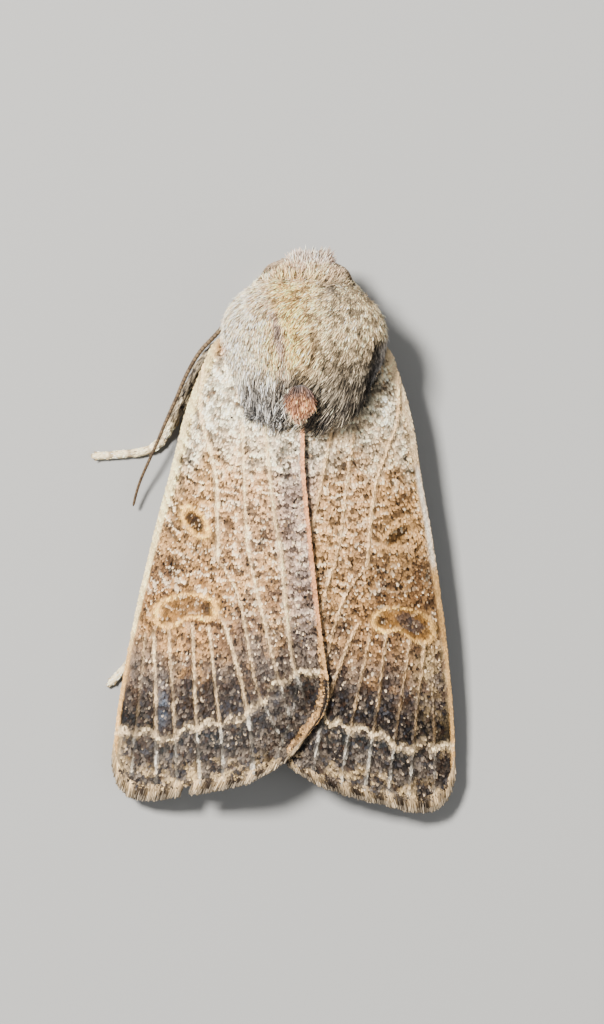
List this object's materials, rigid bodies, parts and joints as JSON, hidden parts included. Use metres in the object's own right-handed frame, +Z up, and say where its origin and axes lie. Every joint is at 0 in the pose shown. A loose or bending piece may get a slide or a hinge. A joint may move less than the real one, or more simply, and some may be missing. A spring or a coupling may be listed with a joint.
{
  "type": "lunar underwing moth at rest, life-size still model",
  "caption": "Resting noctuid moth with furry thorax, closed patterned forewings, tucked hindwings, six legs and feelers.",
  "frame": {"origin": "on the floor under the middle of the moth's bounding box", "axes": "+Y from the head to the tail, +X to the moth's left, +Z up"},
  "size_m": [0.013, 0.019, 0.0053],
  "materials": {
    "thorax_fur": "dense hair-scales, matte",
    "abdomen_fur": "short hair-scales, matte",
    "head_fur": "short hair-scales, matte",
    "eye": "glossy, faceted",
    "feeler": "matte",
    "forewing": "overlapping scales, matte with a fine sheen",
    "hindwing": "overlapping scales, matte",
    "leg": "short scales, matte"
  },
  "bodies": {
    "root": {"thorax": "thorax_fur", "abdomen": "abdomen_fur", "head": "head_fur", "palp_left": "head_fur", "palp_right": "head_fur", "eye_left": "eye", "eye_right": "eye", "antenna_left": "feeler", "antenna_right": "feeler", "forewing_left": "forewing", "forewing_right": "forewing", "hindwing_left": "hindwing", "hindwing_right": "hindwing", "foreleg_left": "leg", "foreleg_right": "leg", "midleg_left": "leg", "midleg_right": "leg", "hindleg_left": "leg", "hindleg_right": "leg"}
  },
  "joints": []
}
